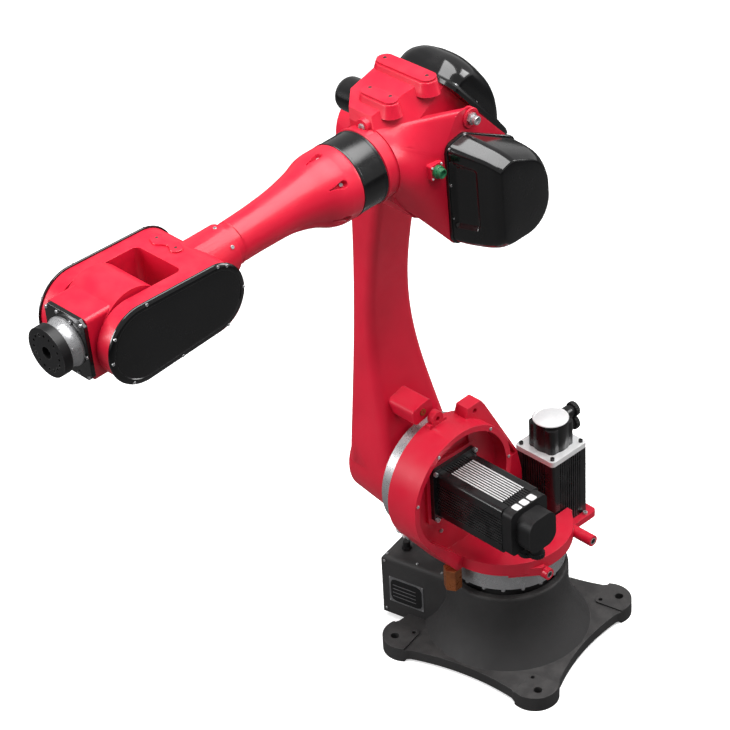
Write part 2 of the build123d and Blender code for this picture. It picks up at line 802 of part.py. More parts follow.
# Belt covers: a flat rim and a raised field
field_front_r = cover_front_r - cover_step
field_rear_r = cover_rear_r - cover_step
for name, rim_y, away in (("left_cover", fork_half_width, 1), ("right_cover", -fork_half_width, -1)):
    rim_face = side(fork, rim_y)
    rim = stadium(rim_face, cover_front_x, cover_front_r, cover_rear_x, cover_rear_r, cover_drop)
    field = stadium(rim_face, cover_front_x, field_front_r, cover_rear_x, field_rear_r, cover_drop)
    with BuildPart() as belt_cover:
        extrude(rim, amount=-away * cover_rim)
        extrude(field, amount=-away * cover_thick)
    save(belt_cover.part, name)

# Wrist block that nods in the fork: a barrel between the ears and a nose behind the mounting plate
with BuildPart() as wrist_block:
    block_half = window_half - block_side_gap
    with BuildSketch(side(wrist, block_half)):
        Circle(barrel_r)
    extrude(amount=2 * block_half)
    with BuildSketch(facing(wrist, nose_end)):
        with Locations((0, (nose_up - nose_down) / 2)):
            RectangleRounded(2 * nose_half, nose_up + nose_down, 10)
    extrude(amount=-nose_end)
    with BuildSketch(side(wrist, window_half - running_gap)):
        Circle(boss_r)
    extrude(amount=2 * (window_half - running_gap))
save(wrist_block.part, "wrist_block")

with BuildPart() as wrist_plate:
    with BuildSketch(facing(wrist, nose_end)):
        with Locations((0, (nose_up - nose_down) / 2)):
            Rectangle(2 * nose_half + 2, nose_up + nose_down)
        chamfer(vertices(), 14)
    extrude(amount=wrist_plate_thick)
save(wrist_plate.part, "wrist_plate")

with BuildPart() as wrist_ring:
    with BuildSketch(facing(wrist, nose_end + wrist_plate_thick)):
        Circle(ring_r)
    with BuildSketch(facing(wrist, flange_reach - flange_thickness - running_gap)):
        Circle(ring_r - 8)
    loft(ruled=True)
save(wrist_ring.part, "wrist_ring")

with BuildPart() as tool_flange:
    with BuildSketch(facing(wrist, flange_reach - flange_thickness)):
        Circle(flange_r)
    extrude(amount=flange_thickness)
    with BuildSketch(facing(wrist, flange_reach)):
        Circle(flange_bore_r)
        with PolarLocations(flange_ring_r, flange_hole_count):
            Circle(flange_hole_r)
    extrude(amount=-flange_bore_depth, mode=Mode.SUBTRACT)
save(tool_flange.part, "tool_flange")
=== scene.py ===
# %% [markdown]
# # Dressing an industrial robot arm
#
# The arm comes as plain solids, one for each real part. This lesson gives them their finishes, softens
# the edges that a foundry rounds, adds the screws, pockets and fittings, and sets a camera and a studio.
# Lengths are in metres and typed angles in degrees. The origin is on the floor under the turning axis.

# %% Load the solids
import math

import bmesh
import bpy
import numpy as np
from mathutils import Matrix, Vector


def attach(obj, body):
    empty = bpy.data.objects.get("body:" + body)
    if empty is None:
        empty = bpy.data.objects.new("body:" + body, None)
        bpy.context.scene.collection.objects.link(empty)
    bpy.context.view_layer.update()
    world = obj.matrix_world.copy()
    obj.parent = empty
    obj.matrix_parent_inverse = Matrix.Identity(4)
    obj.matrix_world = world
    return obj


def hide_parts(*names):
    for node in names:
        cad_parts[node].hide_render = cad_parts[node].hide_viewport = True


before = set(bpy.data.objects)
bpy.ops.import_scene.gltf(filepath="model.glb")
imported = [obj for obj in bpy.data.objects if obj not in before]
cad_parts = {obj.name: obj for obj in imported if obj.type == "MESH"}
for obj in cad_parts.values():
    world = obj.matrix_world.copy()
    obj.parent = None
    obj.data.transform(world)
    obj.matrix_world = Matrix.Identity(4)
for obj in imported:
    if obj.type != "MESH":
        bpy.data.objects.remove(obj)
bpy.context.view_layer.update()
scene = bpy.context.scene
print("solids loaded:", len(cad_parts))

# %% [markdown]
# ## Where the links stand
#
# Each link of the arm has its own axes: x forward, y to the left and z up. A fitting is far easier to
# place in those axes than in the room's, so the first tool is a chain of 4 by 4 matrices. They could
# be Blender empties with parents, but a matrix moves a whole numpy array of points at once.

# %% Link frames
def moved(x=0.0, y=0.0, z=0.0):
    """Matrix that shifts points by x, y and z."""
    matrix = np.eye(4)
    matrix[:3, 3] = (x, y, z)
    return matrix


def turned(axis, degrees):
    """Matrix that turns points about an axis through the origin."""
    return np.array(Matrix.Rotation(math.radians(degrees), 4, axis))


arm_turn = 12.5
shoulder_x = 0.158
shoulder_z = 0.548
lower_arm_length = 0.927
forearm_dip = 2.6
forearm_rise = 0.103
forearm_length = 0.967

room = np.eye(4)
turret = turned("Z", -arm_turn)
shoulder = turret @ moved(shoulder_x, 0, shoulder_z)
elbow = shoulder @ moved(z=lower_arm_length) @ turned("Y", forearm_dip)
forearm = elbow @ moved(z=forearm_rise)
wrist = forearm @ moved(x=forearm_length)
print("wrist centre at", np.round(wrist[:3, 3], 3))


def seat(link, place, out, up=(0, 0, 1)):
    """Frame on a link with its origin at `place` and its third axis along `out`."""
    third = np.array(out, float) / np.linalg.norm(out)
    first = np.cross(up, third)
    if np.linalg.norm(first) < 1e-6:
        first = np.cross((1, 0, 0), third)
    first = first / np.linalg.norm(first)
    local = np.eye(4)
    local[:3, :3] = np.stack([first, np.cross(third, first), third], axis=1)
    local[:3, 3] = place
    return link @ local


def carry(matrix, points):
    """Points of any array shape, moved by a matrix."""
    return points @ matrix[:3, :3].T + matrix[:3, 3]


# %% [markdown]
# ## Finishes
#
# Paint on a casting is never one flat colour. It pools a little, its gloss breaks up in a fine orange
# peel, dust settles on top, and it wears thin along the edges that people and tools touch. Along the edges
# it is also made lighter, a painted highlight where a rounded edge catches the light. These are the same few
# effects on every painted part, so they are one node group with different values. A picture texture could
# do it too, but a group has no resolution and follows the part in every pose.

# %% Helpers for node groups
def new_group(name, inputs, outputs):
    """Empty shader group with named float or colour sockets, and its input and output nodes."""
    group = bpy.data.node_groups.new(name, "ShaderNodeTree")
    for label, value in inputs.items():
        kind = "NodeSocketColor" if isinstance(value, tuple) else "NodeSocketFloat"
        group.interface.new_socket(name=label, in_out="INPUT", socket_type=kind).default_value = value
    for label, kind in outputs.items():
        group.interface.new_socket(name=label, in_out="OUTPUT", socket_type=kind)
    return group, group.nodes.new("NodeGroupInput"), group.nodes.new("NodeGroupOutput")


def link_up(tree, value, target):
    """Join an output socket to an input socket, or give the input a constant."""
    if isinstance(value, bpy.types.NodeSocket):
        tree.links.new(value, target)
    else:
        target.default_value = value


def noise(tree, vector, scale, detail=2.0, roughness=0.5):
    """Noise value over a surface. `scale` is a number or a socket."""
    node = tree.nodes.new("ShaderNodeTexNoise")
    for label, value in (("Vector", vector), ("Scale", scale), ("Detail", detail), ("Roughness", roughness)):
        link_up(tree, value, node.inputs[label])
    return node.outputs["Fac"]


def work(tree, kind, first, second, clamp=False):
    """Arithmetic on two sockets or numbers."""
    node = tree.nodes.new("ShaderNodeMath")
    node.operation = kind
    node.use_clamp = clamp
    link_up(tree, first, node.inputs[0])
    link_up(tree, second, node.inputs[1])
    return node.outputs[0]


def spread(tree, value, low, high, to_low=0.0, to_high=1.0):
    """Value stretched from one range to another, with soft ends."""
    node = tree.nodes.new("ShaderNodeMapRange")
    node.interpolation_type = "SMOOTHSTEP"
    link_up(tree, value, node.inputs["Value"])
    for label, limit in zip(("From Min", "From Max", "To Min", "To Max"), (low, high, to_low, to_high)):
        node.inputs[label].default_value = limit
    return node.outputs["Result"]


def blend_colours(tree, mask, first, second):
    """Colour that goes from first to second as the mask goes from 0 to 1."""
    node = tree.nodes.new("ShaderNodeMix")
    node.data_type = "RGBA"
    for index, value in ((0, mask), (6, first), (7, second)):
        link_up(tree, value, node.inputs[index])
    return node.outputs[2]


# %% [markdown]
# ## Edge wear and painted highlight
#
# Worn edges could be painted by hand, or read from how sharply the mesh bends at each corner point. The
# second needs a dense mesh, and flat castings have few points. The Bevel node compares the true surface
# direction with one that is rounded over a small radius. They differ only near an edge, so their
# difference is a clean mask on any mesh. Noise breaks it up, because wear is never an even line.
# The same mask also lightens the edges as a painted highlight, where a rounded edge would catch the light.

# %% Edge mask
colour = "NodeSocketColor"
number = "NodeSocketFloat"
# The mask marks the edges for worn paint and also for a painted highlight.
edge_wear_and_highlight, wear_and_highlight_in, wear_and_highlight_out = new_group(
    "edge_wear_and_highlight", {"Radius": 0.002, "Patch Scale": 30.0, "Amount": 0.5}, {"Mask": number}
)
bevel_node = edge_wear_and_highlight.nodes.new("ShaderNodeBevel")
bevel_node.samples = 4
link_up(edge_wear_and_highlight, wear_and_highlight_in.outputs["Radius"], bevel_node.inputs["Radius"])
geometry_node = edge_wear_and_highlight.nodes.new("ShaderNodeNewGeometry")
dot_node = edge_wear_and_highlight.nodes.new("ShaderNodeVectorMath")
dot_node.operation = "DOT_PRODUCT"
link_up(edge_wear_and_highlight, bevel_node.outputs[0], dot_node.inputs[0])
link_up(edge_wear_and_highlight, geometry_node.outputs["Normal"], dot_node.inputs[1])
bend = work(edge_wear_and_highlight, "SUBTRACT", 1.0, dot_node.outputs["Value"])
coordinates = edge_wear_and_highlight.nodes.new("ShaderNodeTexCoord")
patches = noise(edge_wear_and_highlight, coordinates.outputs["Object"], wear_and_highlight_in.outputs["Patch Scale"], 4.0, 0.6)
patchy = work(edge_wear_and_highlight, "MULTIPLY", spread(edge_wear_and_highlight, bend, 0.01, 0.2), spread(edge_wear_and_highlight, patches, 0.4, 0.62))
link_up(edge_wear_and_highlight, work(edge_wear_and_highlight, "MULTIPLY", patchy, wear_and_highlight_in.outputs["Amount"]), wear_and_highlight_out.inputs["Mask"])
print("edge mask nodes:", len(edge_wear_and_highlight.nodes))

# %% [markdown]
# ## Painted film
#
# The film mixes the paint with a pooled shade, dulls it where dust settles on faces that look up, and shows
# the edge colour where the edge mask is: worn paint, and also a painted highlight. Mixing whole materials
# could do this too, but one set of values for one shader is easier to tune.

# %% Painted film
film, film_in, film_out = new_group(
    "painted_film",
    {
        "Paint": (0.5, 0.5, 0.5, 1), "Shade": (0.4, 0.4, 0.4, 1), "Edge Wear And Highlight": (0.6, 0.6, 0.6, 1), "Gloss": 0.3,
        "Grain Scale": 300.0, "Wear": 0.4, "Dust": 0.1,
    },
    {"Color": colour, "Roughness": number, "Height": number},
)
coordinates = film.nodes.new("ShaderNodeTexCoord")
place = coordinates.outputs["Object"]
pool = spread(film, noise(film, place, 5.0, 3.0, 0.55), 0.3, 0.7)
smudge = noise(film, place, 22.0, 4.0, 0.6)
grain = noise(film, place, film_in.outputs["Grain Scale"], 2.0, 0.5)
speck = spread(film, noise(film, place, 900.0, 1.0, 0.4), 0.66, 0.74)
split_normal = film.nodes.new("ShaderNodeSeparateXYZ")
link_up(film, coordinates.outputs["Normal"], split_normal.inputs[0])
upward = spread(film, split_normal.outputs["Z"], 0.5, 1.0)
settled = work(film, "MULTIPLY", upward, spread(film, smudge, 0.35, 0.7, 0.25, 1.0))
dusty = work(film, "MULTIPLY", settled, film_in.outputs["Dust"])
# Edge mask for the edge colour: worn paint, and also a painted highlight.
worn_and_lit_edges = film.nodes.new("ShaderNodeGroup")
worn_and_lit_edges.node_tree = edge_wear_and_highlight
worn_and_lit_edges.inputs["Radius"].default_value = 0.0025
worn_and_lit_edges.inputs["Patch Scale"].default_value = 26.0
link_up(film, film_in.outputs["Wear"], worn_and_lit_edges.inputs["Amount"])
tinted = blend_colours(film, pool, film_in.outputs["Shade"], film_in.outputs["Paint"])
dulled = blend_colours(film, dusty, tinted, (0.55, 0.52, 0.5, 1))
# On the edges the colour turns to the edge colour: part worn paint, part painted highlight.
link_up(film, blend_colours(film, worn_and_lit_edges.outputs["Mask"], dulled, film_in.outputs["Edge Wear And Highlight"]), film_out.inputs["Color"])
streaked = work(film, "ADD", film_in.outputs["Gloss"], spread(film, smudge, 0.3, 0.75, -0.05, 0.1))
rough = work(film, "ADD", streaked, work(film, "MULTIPLY", dusty, 0.6), clamp=True)
link_up(film, rough, film_out.inputs["Roughness"])
link_up(film, work(film, "ADD", grain, work(film, "MULTIPLY", speck, 0.25)), film_out.inputs["Height"])
print("painted film nodes:", len(film.nodes))

# %% [markdown]
# ## Turned metal
#
# Reducer housings and screw heads are machined: a cutting tool leaves rings, and handling leaves dull
# patches. Noise squeezed along one direction reads as those tool lines. A wave texture would be too even.

# %% Machined finish
machined, machined_in, machined_out = new_group(
    "machined_face",
    {"Metal": (0.6, 0.6, 0.6, 1), "Stain": (0.4, 0.4, 0.4, 1), "Gloss": 0.25, "Line Scale": 400.0},
    {"Color": colour, "Roughness": number, "Height": number},
)
coordinates = machined.nodes.new("ShaderNodeTexCoord")
stretch = machined.nodes.new("ShaderNodeMapping")
stretch.inputs["Scale"].default_value = (0.06, 1.0, 1.0)
link_up(machined, coordinates.outputs["Object"], stretch.inputs["Vector"])
lines = noise(machined, stretch.outputs[0], machined_in.outputs["Line Scale"], 2.0, 0.6)
handled = spread(machined, noise(machined, coordinates.outputs["Object"], 35.0, 4.0, 0.6), 0.35, 0.75)
tarnished = blend_colours(machined, handled, machined_in.outputs["Metal"], machined_in.outputs["Stain"])
link_up(machined, tarnished, machined_out.inputs["Color"])
line_gloss = work(machined, "ADD", machined_in.outputs["Gloss"], spread(machined, lines, 0.3, 0.7, -0.08, 0.1))
dull_gloss = work(machined, "ADD", line_gloss, work(machined, "MULTIPLY", handled, 0.12), clamp=True)
link_up(machined, dull_gloss, machined_out.inputs["Roughness"])
link_up(machined, lines, machined_out.inputs["Height"])
print("machined face nodes:", len(machined.nodes))


# %% A finish from a node group
finishes = {}


def dress(name, group, values, bump, metallic=0.0, coat=0.0, specular=0.5):
    """Material named after a slot: a node group feeds one Principled shader, and its height feeds a bump."""
    material = bpy.data.materials.new("finish_" + name)
    material.use_nodes = True
    tree = material.node_tree
    shader = tree.nodes["Principled BSDF"]
    node = tree.nodes.new("ShaderNodeGroup")
    node.node_tree = group
    for label, value in values.items():
        node.inputs[label].default_value = value
    link_up(tree, node.outputs["Color"], shader.inputs["Base Color"])
    link_up(tree, node.outputs["Roughness"], shader.inputs["Roughness"])
    raised = tree.nodes.new("ShaderNodeBump")
    raised.inputs["Strength"].default_value = bump[0]
    raised.inputs["Distance"].default_value = bump[1]
    link_up(tree, node.outputs["Height"], raised.inputs["Height"])
    link_up(tree, raised.outputs["Normal"], shader.inputs["Normal"])
    shader.inputs["Metallic"].default_value = metallic
    shader.inputs["Coat Weight"].default_value = coat
    shader.inputs["Coat Roughness"].default_value = 0.12
    shader.inputs["Specular IOR Level"].default_value = specular
    finishes[name] = material


def painted(name, paint, shade, worn_and_lit_edge_colour, gloss, grain_scale, wear, dust, bump, **looks):
    """Finish made with the painted film."""
    # The third colour goes on the edges: worn paint, and also a painted highlight.
    dress(name, film, {
        "Paint": paint + (1,), "Shade": shade + (1,), "Edge Wear And Highlight": worn_and_lit_edge_colour + (1,), "Gloss": gloss,
        "Grain Scale": grain_scale, "Wear": wear, "Dust": dust,
    }, bump, **looks)


def metal(name, bright, stain, gloss, line_scale, bump, metallic):
    """Finish made with the machined face."""
    values = {"Metal": bright + (1,), "Stain": stain + (1,), "Gloss": gloss, "Line Scale": line_scale}
    dress(name, machined, values, bump, metallic)


# %% Finishes by name
# After its colours each has gloss, grain or line scale, then if painted the edge wear and highlight and
# the dust, and the bump's strength and depth. A painted finish's third colour goes on its edges: worn paint,
# and also a painted highlight.
painted(
    "red_paint", (0.53, 0.0060, 0.028), (0.46, 0.005, 0.023), (0.70, 0.06, 0.09), 0.36, 420.0, 0.4, 0.015,
    (0.12, 0.0006), coat=0.12, specular=0.3,
)
painted(
    "base_paint", (0.033, 0.0321, 0.0325), (0.025, 0.0243, 0.0246), (0.10, 0.10, 0.10), 0.52, 700.0, 0.7, 0.05,
    (0.5, 0.0008), specular=0.2,
)
painted(
    "black_gloss", (0.0040, 0.0040, 0.0044), (0.0028, 0.0028, 0.0030), (0.05, 0.05, 0.05), 0.2, 260.0, 0.4, 0.008,
    (0.05, 0.0004), coat=0.9, specular=0.1,
)
painted(
    "motor_black", (0.008, 0.008, 0.0085), (0.005, 0.005, 0.0055), (0.16, 0.16, 0.16), 0.3, 800.0, 0.25, 0.01,
    (0.2, 0.0004), coat=0.5, specular=0.15,
)
painted(
    "flange_black", (0.010, 0.010, 0.0105), (0.007, 0.007, 0.0075), (0.25, 0.25, 0.25), 0.34, 900.0, 0.5, 0.01,
    (0.2, 0.0003), metallic=0.1, specular=0.25,
)
painted(
    "black_plastic", (0.011, 0.011, 0.0115), (0.008, 0.008, 0.0085), (0.05, 0.05, 0.05), 0.45, 900.0, 0.3, 0.02,
    (0.3, 0.0003), specular=0.2,
)
painted(
    "socket_green", (0.008, 0.12, 0.045), (0.005, 0.08, 0.03), (0.1, 0.3, 0.18), 0.35, 700.0, 0.3, 0.01,
    (0.1, 0.0002),
)
metal("steel", (0.46, 0.46, 0.47), (0.42, 0.42, 0.43), 0.28, 500.0, (0.05, 0.0001), 0.75)
metal("alloy", (0.82, 0.82, 0.82), (0.76, 0.76, 0.77), 0.36, 300.0, (0.1, 0.0003), 0.5)
metal("plate_grey", (0.30, 0.30, 0.31), (0.2, 0.2, 0.21), 0.34, 600.0, (0.1, 0.0002), 0.8)
metal("brass", (0.30, 0.090, 0.026), (0.19, 0.055, 0.018), 0.3, 300.0, (0.15, 0.0004), 0.5)
print("finishes:", sorted(finishes))

# %% [markdown]
# ## Finishes on the solids
#
# Each solid already names its material slots. Swapping the slot's material for the finish of that name
# dresses all of them at once, so no solid is forgotten.

# %% Dress the solids
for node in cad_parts.values():
    for holder in node.material_slots:
        holder.material = finishes[holder.material.name.split(".")[0]]
print("solids dressed:", len(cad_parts))

# %% [markdown]
# ## Rounded foundry edges
#
# A sand casting has no sharp edge: molten iron can't fill one and paint won't hold on it. The solids have
# sharp ones, so the castings and the thick plates are copied, their loose triangles merged, and a Bevel
# modifier rounds each edge that bends by more than a set angle. Modelling each round by hand gives more
# control, but one rule for all edges is how a pattern maker works too.

# %% Soften castings and plates
merge_distance = 2e-5
flat_angle = math.radians(0.6)
round_angle = math.radians(32)


def added(name, data):
    """Object that holds a mesh, a light or a camera, linked to the scene."""
    thing = bpy.data.objects.new(name, data)
    scene.collection.objects.link(thing)
    return thing


def softened(node_name, body, slot, width):
    """Copy of a solid with merged points, flat faces joined, and rounded edges."""
    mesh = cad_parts[node_name].data.copy()
    mesh.name = node_name + "_rounded"
    shell = bmesh.new()
    shell.from_mesh(mesh)
    bmesh.ops.remove_doubles(shell, verts=shell.verts, dist=merge_distance)
    bmesh.ops.dissolve_limit(
        shell, angle_limit=flat_angle, use_dissolve_boundaries=False, verts=shell.verts, edges=shell.edges
    )
    shell.to_mesh(mesh)
    shell.free()
    piece = added(node_name + "_rounded", mesh)
    mesh.materials.clear()
    mesh.materials.append(finishes[slot])
    mesh.shade_smooth()
    mesh.set_sharp_from_angle(angle=round_angle)
    rounding = piece.modifiers.new("rounded_edges", "BEVEL")
    rounding.width = width
    rounding.segments = 3
    rounding.limit_method = "ANGLE"
    rounding.angle_limit = round_angle
    rounding.use_clamp_overlap = True
    rounding.harden_normals = True
    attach(piece, body)
    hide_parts(node_name)


rounded = (
    ("base_casting", "base", "base_paint", 0.003),
    ("connector_box", "base", "base_paint", 0.002),
    ("turret_casting", "turret", "red_paint", 0.003),
    ("turn_stop", "turret", "brass", 0.002),
    ("lower_arm", "lower_arm", "red_paint", 0.004),
    ("elbow_casting", "elbow", "red_paint", 0.005),
    ("wrist_fork", "forearm", "red_paint", 0.006),
    ("wrist_block", "wrist", "red_paint", 0.004),
    ("wrist_plate", "wrist", "black_gloss", 0.0015),
)
for node_name, body, slot, width in rounded:
    softened(node_name, body, slot, width)
print("rounded pieces:", len(rounded))

# %% [markdown]
# ## Surfaces from rings
#
# Nearly every new piece here is a stack of closed rings: a screw is a stack of circles, a cover a stack of
# rounded outlines. A ring is a row of numpy points and the stack is one array, so the whole surface is
# worked out at once. The rings are joined by quads and the two ends are capped, which keeps the piece
# closed. When the stack runs the way a right-hand screw would, the faces look outwards.

# %% Pieces from stacks of rings
def stack_faces(rings, around):
    """Quads from ring i to ring i + 1, point j to j + 1, and one face over each end."""
    row = np.arange(rings - 1)[:, None] * around
    step = np.arange(around)[None, :]
    after = (step + 1) % around
    quads = np.stack([row + step, row + after, row + around + after, row + around + step], axis=-1)
    first_end = list(range(around))[::-1]
    last_end = list(range((rings - 1) * around, rings * around))
    return quads.reshape(-1, 4).tolist() + [first_end, last_end]


def build(name, points, faces, body, slot, replaced=(), sharp=35):
    """Object from points and faces, riding on a body and dressed in a finish."""
    mesh = bpy.data.meshes.new(name)
    mesh.from_pydata(points.reshape(-1, 3).tolist(), [], faces)
    mesh.materials.append(finishes[slot])
    mesh.shade_smooth()
    mesh.set_sharp_from_angle(angle=math.radians(sharp))
    piece = added(name, mesh)
    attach(piece, body)
    if replaced:
        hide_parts(*replaced)


def skin(name, link, rings, body, slot, replaced=(), sharp=35):
    """One stack of rings, carried to its place."""
    build(name, carry(link, rings), stack_faces(*rings.shape[:2]), body, slot, replaced, sharp)


def repeat(name, rings, places, body, slot):
    """One stack of rings carried to every place, all in one mesh: point = place matrix times ring point."""
    places = np.array(places)
    points = rings.reshape(-1, 3)
    spots = np.einsum("cij,nj->cni", places[:, :3, :3], points) + places[:, None, :3, 3]
    faces = stack_faces(*rings.shape[:2])
    every = [[index + copy * len(points) for index in face] for copy in range(len(places)) for face in faces]
    build(name, spots, every, body, slot)


# %% Rings and places
mm = 0.001
side_out = (0, 1, 0)
side_back = (0, -1, 0)
ahead = (1, 0, 0)
upright = (0, 0, 1)
square = np.array([(-1, -1), (1, -1), (1, 1), (-1, 1)])


def full_turn(around):
    """Evenly spaced angles round a circle."""
    return np.linspace(0, 2 * np.pi, around, endpoint=False)


def at_height(outline, height):
    """Flat outline of (x, y) points as a ring at one height."""
    return np.concatenate([outline, np.full((len(outline), 1), height)], 1)


def spun(radii, heights):
    """Rings from a radius at each height and turn: P = (radius cos turn, radius sin turn, height)."""
    turn = full_turn(radii.shape[1])
    return np.stack([radii * np.cos(turn), radii * np.sin(turn), np.repeat(heights[:, None], len(turn), 1)], -1)


def lathe(profile, around):
    """Rings of a turned shape from its profile of radius and height pairs."""
    radii, heights = np.array(profile, float).T
    return spun(np.repeat(radii[:, None], around, 1), heights)


def circle_of(link, centre, radius, degrees, out):
    """Seats round an upright circle: centre + radius (cos angle, 0, sin angle), all facing out."""
    return [
        seat(link, np.array(centre) + radius * np.array((math.cos(angle), 0, math.sin(angle))), out)
        for angle in np.radians(degrees)
    ]


def spokes(link, along, radius, degrees, lean=0.0, rise=0.0):
    """Seats round a link's x axis that face away from it, each along (lean, cos angle, sin angle)."""
    return [
        seat(link, (along, radius * math.cos(a), rise + radius * math.sin(a)), (lean, math.cos(a), math.sin(a)))
        for a in np.radians(degrees)
    ]


# %% [markdown]
# ## Screws
#
# A socket screw is the small part that makes a machine look real. Its head is a turned cylinder with a
# chamfer and a hexagonal recess. The recess uses the polar form of a hexagon, so the same rings that turn
# the head also cut the socket. A Boolean would give the same look with an untidier mesh.

# %% Screw head
def screw_head(head_r, head_h, around=24):
    """Rings of a socket head. The socket's radius at a turn is flat / cos(turn mod 60 - 30 degrees)."""
    turn = full_turn(around)
    hexagon = 0.5 * head_r * math.cos(math.radians(30)) / np.cos(turn % (np.pi / 3) - np.pi / 6)
    chamfer = 0.12 * head_r
    radii = np.stack([
        np.full(around, head_r), np.full(around, head_r), np.full(around, head_r - chamfer), hexagon * 1.08,
        hexagon, hexagon,
    ])
    heights = np.array([-0.001, head_h - chamfer, head_h, head_h, head_h - 0.1 * head_r, 0.35 * head_h])
    return spun(radii, heights)


def screws(name, head_r, head_h, places, body, slot="steel"):
    """Screws of one size, in millimetres, at every place."""
    repeat(name, screw_head(head_r * mm, head_h * mm), places, body, slot)


print("screw faces each:", len(stack_faces(*screw_head(1, 1).shape[:2])))

# %% Screws of the turret
# Shoulder motor's flange, and the drum's face and wall
flange_corner = 69 * mm
lift_flange_y = -14 * mm
corner_spots = [seat(shoulder, (x * flange_corner, lift_flange_y, z * flange_corner), side_out) for x, z in square]
screws("lift_flange_screws", 6, 7, corner_spots, "turret")
face_spots = circle_of(shoulder, (0, 13 * mm, 0), 161.5 * mm, (12, 60, 128, 176, 224), side_out)
screws("drum_face_screws", 4, 2.5, face_spots, "turret")
wall_spots = circle_of(shoulder, (0, -36 * mm, 0), 138 * mm, range(15, 375, 45), side_out)
screws("drum_wall_screws", 5, 4, wall_spots, "turret")

# Turning motor: its end bell and its foot
turn_motor_x = -166 * mm
turn_motor_y = 6 * mm
bell_corner, bell_top = 53 * mm, 508 * mm
bell_spots = [
    seat(turret, (turn_motor_x + x * bell_corner, turn_motor_y + y * bell_corner, bell_top), upright)
    for x, y in square
]
screws("turn_bell_screws", 5.5, 7, bell_spots, "turret", "motor_black")
foot_x, foot_y, foot_top = 46 * mm, 74 * mm, 294 * mm
foot_spots = [
    seat(turret, (turn_motor_x + x * foot_x, turn_motor_y + y * foot_y, foot_top), upright) for x, y in square
]
screws("turn_foot_screws", 6, 7, foot_spots, "turret")
print("turret screws:", len(corner_spots + face_spots + wall_spots + bell_spots + foot_spots))

# %% Screws of the lower arm and the elbow
# Hubs of the lower arm, on the side away from the motor
hub_face_y = -268 * mm
hub_spots = circle_of(shoulder, (0, hub_face_y, 0), 98 * mm, range(0, 360, 30), side_back)
hub_spots += circle_of(shoulder, (0, hub_face_y, lower_arm_length), 76 * mm, range(0, 360, 36), side_back)
screws("hub_screws", 6.5, 6.5, hub_spots, "lower_arm")

# Elbow: side cover's flange, socket and the boss behind the band
cover_seat_y = 108 * mm
cover_places = (
    (99, 108), (101, 17), (99, -70), (88, -134), (0, -137), (-88, -134), (-101, -60), (-100, 20), (50, 121),
)
cover_spots = [seat(elbow, (x * mm, cover_seat_y, z * mm), side_out) for x, z in cover_places]
screws("side_cover_screws", 3.6, 3, cover_spots, "elbow")
socket_place = np.array((138, 106, 71)) * mm
socket_corner = 14 * mm
socket_spots = [seat(elbow, socket_place + socket_corner * np.array((x, 0, z)), side_out) for x, z in square]
screws("socket_screws", 2.6, 2.2, socket_spots, "elbow", "alloy")
screws("neck_boss_screw", 9, 4, [seat(elbow, (0.244, -0.006, 0.192), ahead)], "elbow")
print("hub screws:", len(hub_spots), "elbow screws:", len(cover_spots + socket_spots) + 1)

# %% Screws of the wrist
belt_covers = (("left", 1), ("right", -1))
cover_rim_y = 0.1145
cover_screws = ((0, 70), (-189, 60), (-212, 51), (-248, -19), (89, 34), (103, -18), (60, -88), (-70, -94), (-196, -87))
for cover, away in belt_covers:
    spots = [seat(wrist, (x * mm, away * cover_rim_y, z * mm), (0, away, 0)) for x, z in cover_screws]
    screws(cover + "_cover_screws", 3.4, 2.6, spots, "forearm")
plate_face_x = 0.122
plate_screws = ((-54, 60), (54, 60), (-54, -68), (54, -68), (-20, 62), (22, 55), (58, -16), (20, -70), (-58, 4))
plate_spots = [seat(wrist, (plate_face_x, y * mm, z * mm), ahead) for y, z in plate_screws]
screws("wrist_plate_screws", 3.8, 3.2, plate_spots, "wrist")
print("wrist screws:", 2 * len(cover_screws) + len(plate_screws))

# %% [markdown]
# ## Outlines with rounded corners
#
# The motor covers are vacuum-formed: every corner is round, and the walls draw in towards the end so that
# the sheet leaves its mould. Each section is a polygon whose corners are arcs. All sections have the same
# number of points, so a smooth curve through the same point of each section gives the wall between them.

# %% Section outlines and the curve through them
arc_points = 12


def rounded_ring(corners, radius, per_corner=arc_points):
    """Closed ring of a polygon with round corners: P = centre + radius (cos a, sin a) at each corner."""
    corners = np.array(corners, float)
    radius = np.broadcast_to(radius, len(corners))
    edges = corners - np.roll(corners, 1, axis=0)
    into = np.stack([edges[:, 1], -edges[:, 0]], -1) / np.linalg.norm(edges, axis=1)[:, None]
    onward = np.roll(into, -1, axis=0)
    start = np.arctan2(into[:, 1], into[:, 0])
    sweep = np.arccos(np.clip((into * onward).sum(1), -1, 1))
    bisector = (into + onward) / np.linalg.norm(into + onward, axis=1)[:, None]
    centre = corners - bisector * (radius / np.cos(sweep / 2))[:, None]
    angle = start[:, None] + sweep[:, None] * np.linspace(0, 1, per_corner)
    ring = centre[:, None, :] + radius[:, None, None] * np.stack([np.cos(angle), np.sin(angle)], -1)
    return ring.reshape(-1, 2)


def smooth_through(stations, values, finer):
    """Cubic curve through values at stations, slopes from their neighbours. `finer` are the places wanted."""
    stations = np.array(stations, float)
    values = np.array(values, float)
    slopes = np.gradient(values, stations, axis=0)
    span = np.clip(np.searchsorted(stations, finer, side="right") - 1, 0, len(stations) - 2)
    gap = stations[span + 1] - stations[span]
    shape = (-1,) + (1,) * (values.ndim - 1)
    share = ((finer - stations[span]) / gap).reshape(shape)
    gap = gap.reshape(shape)
    return (
        (2 * share**3 - 3 * share**2 + 1) * values[span] + (share**3 - 2 * share**2 + share) * gap * slopes[span]
        + (3 * share**2 - 2 * share**3) * values[span + 1] + (share**3 - share**2) * gap * slopes[span + 1]
    )


